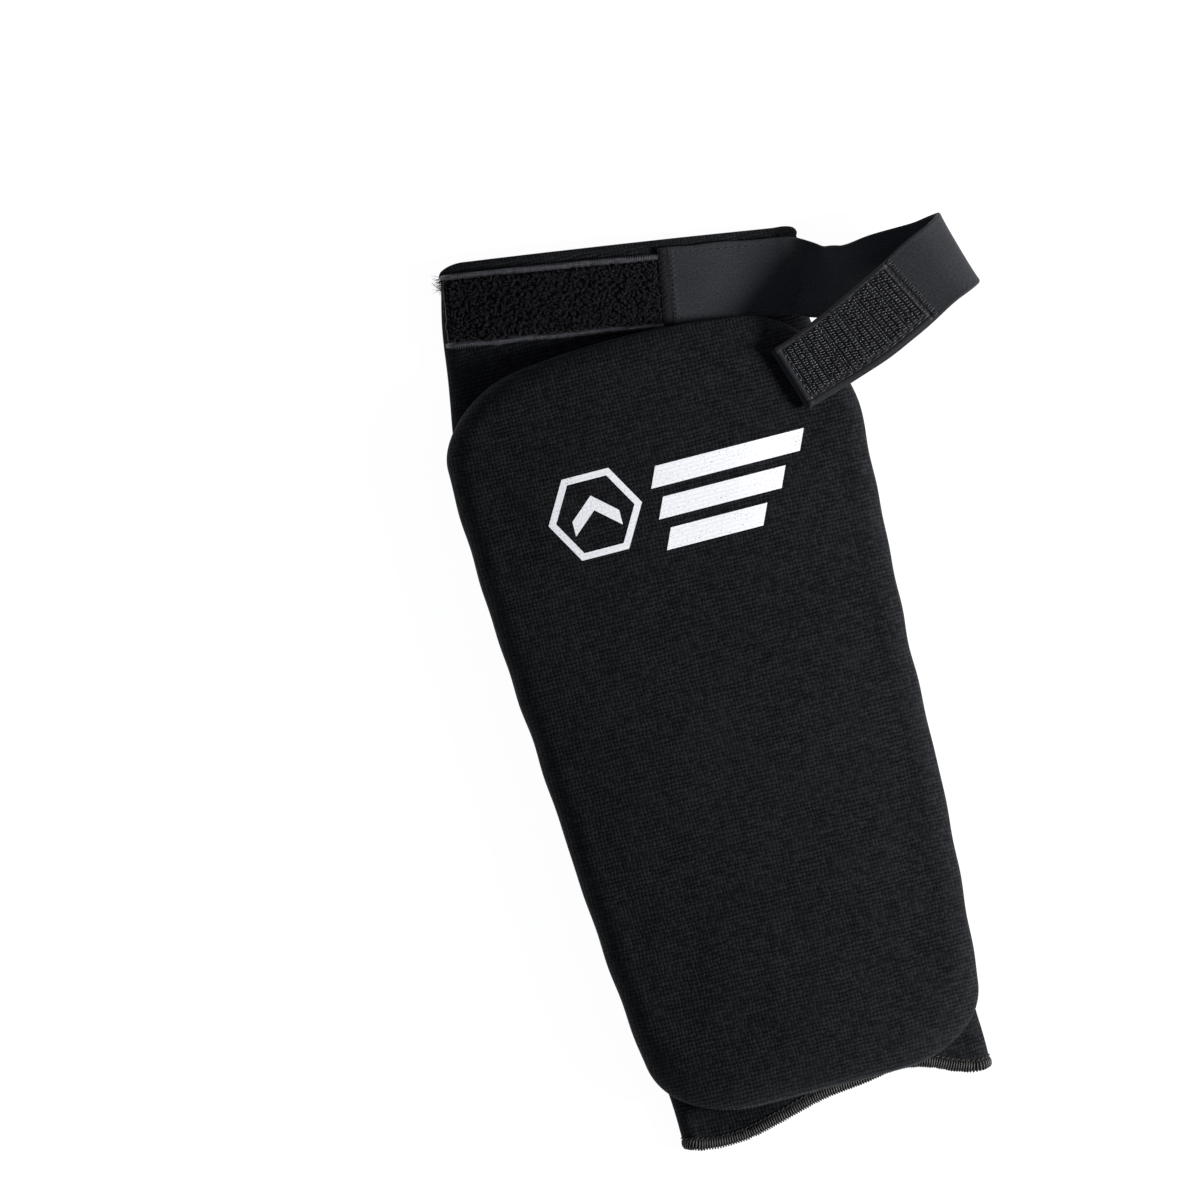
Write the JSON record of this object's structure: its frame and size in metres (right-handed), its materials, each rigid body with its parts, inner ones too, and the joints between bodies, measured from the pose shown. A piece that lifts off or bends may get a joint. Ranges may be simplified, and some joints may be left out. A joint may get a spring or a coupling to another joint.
{
  "type": "forearm guard",
  "caption": "Padded forearm guard: an elastic knit sleeve with a raised foam pad on its front and a hook-and-loop elastic strap at the elbow end.",
  "frame": {"origin": "on the underside of the flat back panel, midway between the two openings, where the guard rests", "axes": "+X runs across the guard towards the side where the strap leaves, +Y runs along the arm from the wrist opening to the elbow opening, and +Z points out of the front, through the pad"},
  "size_m": [0.1873, 0.3082, 0.0353],
  "materials": {
    "knit": "matt black ribbed elastic knit",
    "foam": "dense closed-cell foam, hidden",
    "webbing": "smooth dark grey elastic webbing",
    "loop": "brushed loop pile",
    "hook": "moulded nylon hooks",
    "thread": "polyester sewing thread with a slight shine",
    "ink": "white screen print"
  },
  "bodies": {
    "guard": {"sleeve_back_panel": "knit", "sleeve_front_panel": "knit", "pad_cover": "knit", "elbow_rolled_hem": "knit", "foam_pad": "foam", "side_seam_left": "thread", "side_seam_right": "thread", "wrist_overlock_hem": "thread", "pad_seam_thread": "thread", "loop_tape_base": "webbing", "strap_anchor": "webbing", "loop_pile": "loop", "loop_tape_upper_stitching": "thread", "loop_tape_lower_stitching": "thread", "loop_tape_end_stitching": "thread", "strap_upper_stitching": "thread", "strap_lower_stitching": "thread", "strap_start_stitching": "thread", "print_hexagon": "ink", "print_chevron": "ink", "print_stripe_upper": "ink", "print_stripe_middle": "ink", "print_stripe_lower": "ink"},
    "strap_reach": {"strap_reach_webbing": "webbing"},
    "strap_loop": {"strap_loop_webbing": "webbing"},
    "strap_return": {"strap_return_webbing": "webbing", "strap_end_turned_under": "webbing", "hook_tape_base": "hook", "hook_field": "hook", "hook_tape_stitching": "thread"}
  },
  "joints": [
    {"name": "strap_wrap", "type": "hinge", "parent": "guard", "child": "strap_reach", "pos_m": [0.063, 0.1243, 0.003], "axis": [0.1599, 0.9871, 0], "range_deg": [0, 178]},
    {"name": "loop_open", "type": "hinge", "parent": "strap_reach", "child": "strap_loop", "pos_m": [0.10844, 0.11999, 0.01408], "axis": [-0.2756, 0.9613, 0], "range_deg": [0, 88]},
    {"name": "return_open", "type": "hinge", "parent": "strap_loop", "child": "strap_return", "pos_m": [0.10904, 0.1179, 0.02892], "axis": [-0.2756, 0.9613, 0], "range_deg": [0, 88]}
  ],
  "couplings": [
    {"joint": "return_open", "follows": "loop_open", "ratio": 1}
  ]
}
